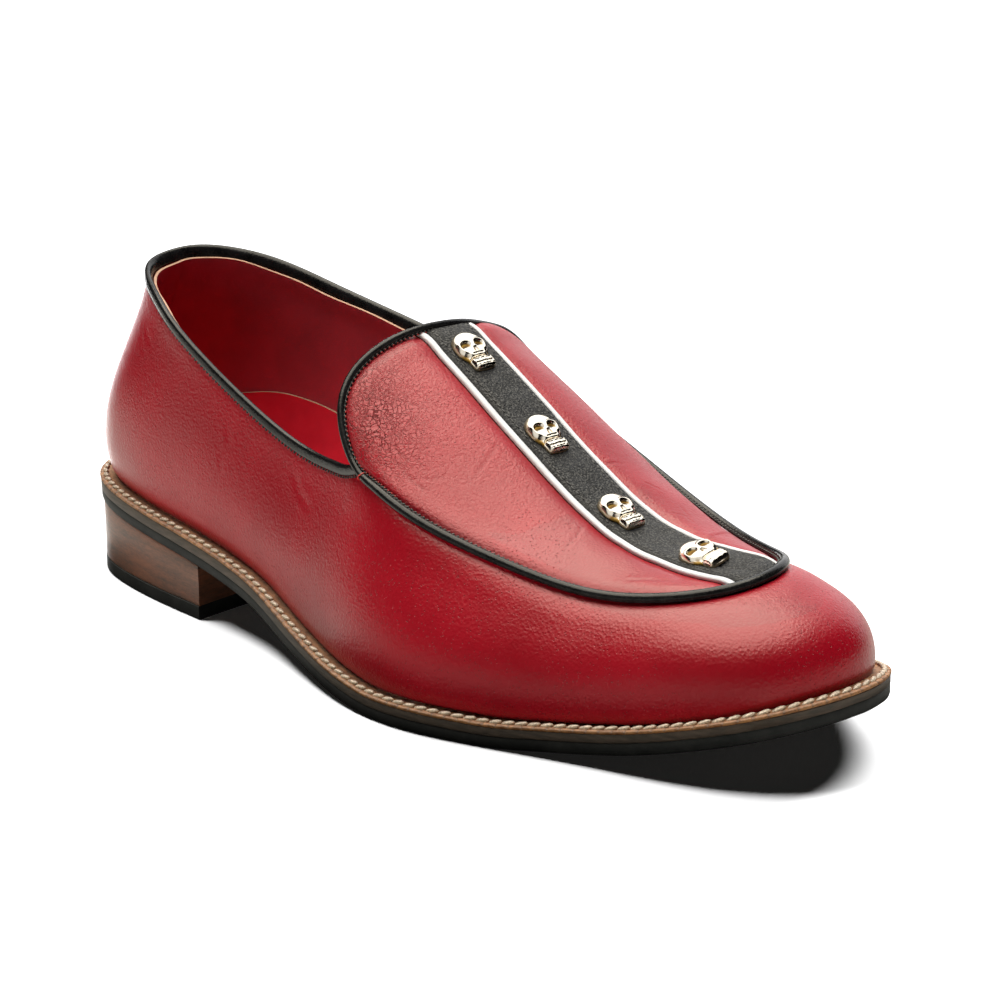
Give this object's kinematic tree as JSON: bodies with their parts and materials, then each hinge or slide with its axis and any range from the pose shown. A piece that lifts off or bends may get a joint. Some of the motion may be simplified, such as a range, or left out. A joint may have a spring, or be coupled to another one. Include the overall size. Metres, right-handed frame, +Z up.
{
  "type": "loafer shoe",
  "caption": "Men's slip-on loafer with a low stacked heel, an apron front edged with piping, a centre strip with ornaments, and an open collar.",
  "frame": {"origin": "on the ground, under the middle of the shoe's box", "axes": "+X to the toe, +Y to the inner (medial) side of the foot, +Z up"},
  "size_m": [0.3001, 0.1073, 0.0984],
  "materials": {
    "red_leather": "satin",
    "black_leather": "satin",
    "white_leather": "satin",
    "gold": "polished",
    "welt_leather": "matte",
    "midsole_leather": "matte",
    "black_rubber": "matte",
    "heel_leather": "satin",
    "sock_leather": "satin"
  },
  "bodies": {
    "root": {"upper": "red_leather", "collar_binding": "black_leather", "apron_piping": "black_leather", "centre_strip": "black_leather", "strip_piping_lateral": "white_leather", "strip_piping_medial": "white_leather", "skull_stud_1": "gold", "skull_stud_2": "gold", "skull_stud_3": "gold", "skull_stud_4": "gold", "welt": "welt_leather", "midsole": "midsole_leather", "outsole": "black_rubber", "insole": "sock_leather", "heel_block": "heel_leather", "top_lift": "black_rubber"}
  },
  "joints": []
}
